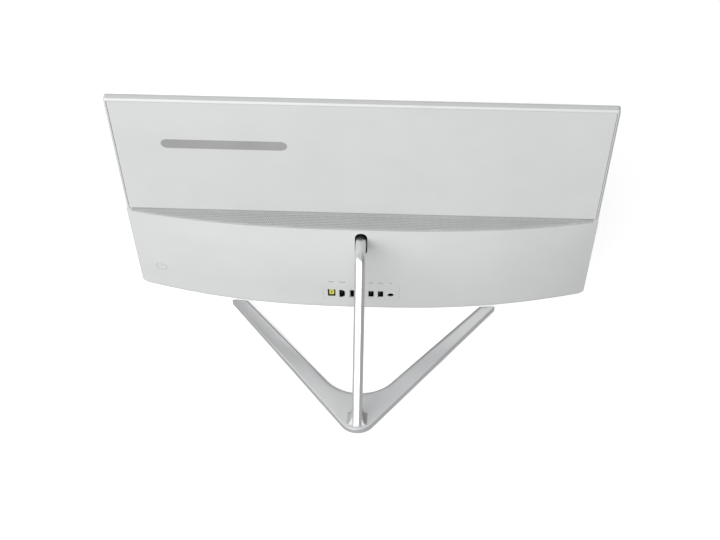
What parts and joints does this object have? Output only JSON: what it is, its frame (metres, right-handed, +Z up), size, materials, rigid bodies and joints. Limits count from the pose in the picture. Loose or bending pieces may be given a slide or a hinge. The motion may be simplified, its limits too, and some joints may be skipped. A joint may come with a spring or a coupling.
{
  "type": "all-in-one desktop computer",
  "caption": "Slim white all-in-one desktop computer: a tilting widescreen display with the computer in its lower rear swelling, on a bent arm over a flat V-shaped metal base.",
  "frame": {"origin": "on the floor, under the middle of the whole object", "axes": "+X across the screen (the power socket side), +Y towards the rear with the ports, +Z up; the screen faces -Y"},
  "size_m": [0.54, 0.2181, 0.401],
  "materials": {
    "white_paint": "fine satin off-white",
    "white_rim": "satin white, brighter than the covers",
    "grey_mesh": "light grey, finely perforated",
    "aluminium": "satin, fine blasted",
    "steel": "zinc plated",
    "copper": "bare copper",
    "black_plastic": "black moulded",
    "grey_plastic": "dark grey moulded",
    "yellow_plastic": "yellow moulded insulator",
    "rubber": "matt black",
    "screen_glass": "dark, anti-glare",
    "acrylic": "clear acrylic",
    "circuit_board": "green solder mask"
  },
  "bodies": {
    "stand": {"base_casting": "aluminium", "stand_arm": "aluminium", "foot_left": "rubber", "foot_right": "rubber", "foot_rear": "rubber", "base_screw_front": "steel", "base_screw_rear": "steel", "hinge_shaft": "steel", "friction_washer_left": "steel", "friction_washer_right": "steel", "hinge_nut_left": "steel", "hinge_nut_right": "steel"},
    "display": {"upper_back_cover": "white_paint", "lower_back_cover": "white_paint", "io_panel": "white_paint", "side_wall_ring": "white_rim", "front_bezel": "white_rim", "chin_cover": "grey_mesh", "vent_grille": "grey_mesh", "fin_stack": "aluminium", "chassis_plate": "steel", "led_bar": "steel", "backlight_tray": "steel", "hinge_bracket_left": "steel", "hinge_bracket_right": "steel", "bracket_screw_1": "steel", "bracket_screw_2": "steel", "bracket_screw_3": "steel", "bracket_screw_4": "steel", "hdmi_port": "steel", "lan_port": "steel", "usb_port_1": "steel", "usb_port_2": "steel", "board_standoff_1": "steel", "board_standoff_2": "steel", "board_standoff_3": "steel", "board_standoff_4": "steel", "processor": "steel", "drive_bracket": "steel", "heat_pipe": "copper", "slot_shroud": "black_plastic", "webcam_module": "black_plastic", "audio_jack": "black_plastic", "fan_housing": "black_plastic", "speaker_left": "black_plastic", "speaker_right": "black_plastic", "button_switch": "black_plastic", "storage_drive": "grey_plastic", "dc_socket": "yellow_plastic", "lcd_panel": "screen_glass", "webcam_lens": "screen_glass", "light_guide_plate": "acrylic", "timing_board": "circuit_board", "motherboard": "circuit_board", "memory_module_1": "circuit_board", "memory_module_2": "circuit_board", "wifi_card": "circuit_board"},
    "fan_rotor": {"fan_rotor": "grey_plastic"},
    "power_button": {"power_button": "white_rim"}
  },
  "joints": [
    {"name": "tilt", "type": "hinge", "parent": "stand", "child": "display", "pos_m": [0, -0.03354, 0.18856], "axis": [-1, 0, 0], "range_deg": [-20, 5]},
    {"name": "fan_spin", "type": "hinge", "parent": "display", "child": "fan_rotor", "pos_m": [-0.111, -0.04334, 0.14812], "axis": [0, 0.9659, -0.2588], "continuous": true},
    {"name": "power_press", "type": "slide", "parent": "display", "child": "power_button", "axis": [0, 0.2588, 0.9659], "range_m": [0, 0.001], "stiffness_N_per_m": 300}
  ]
}
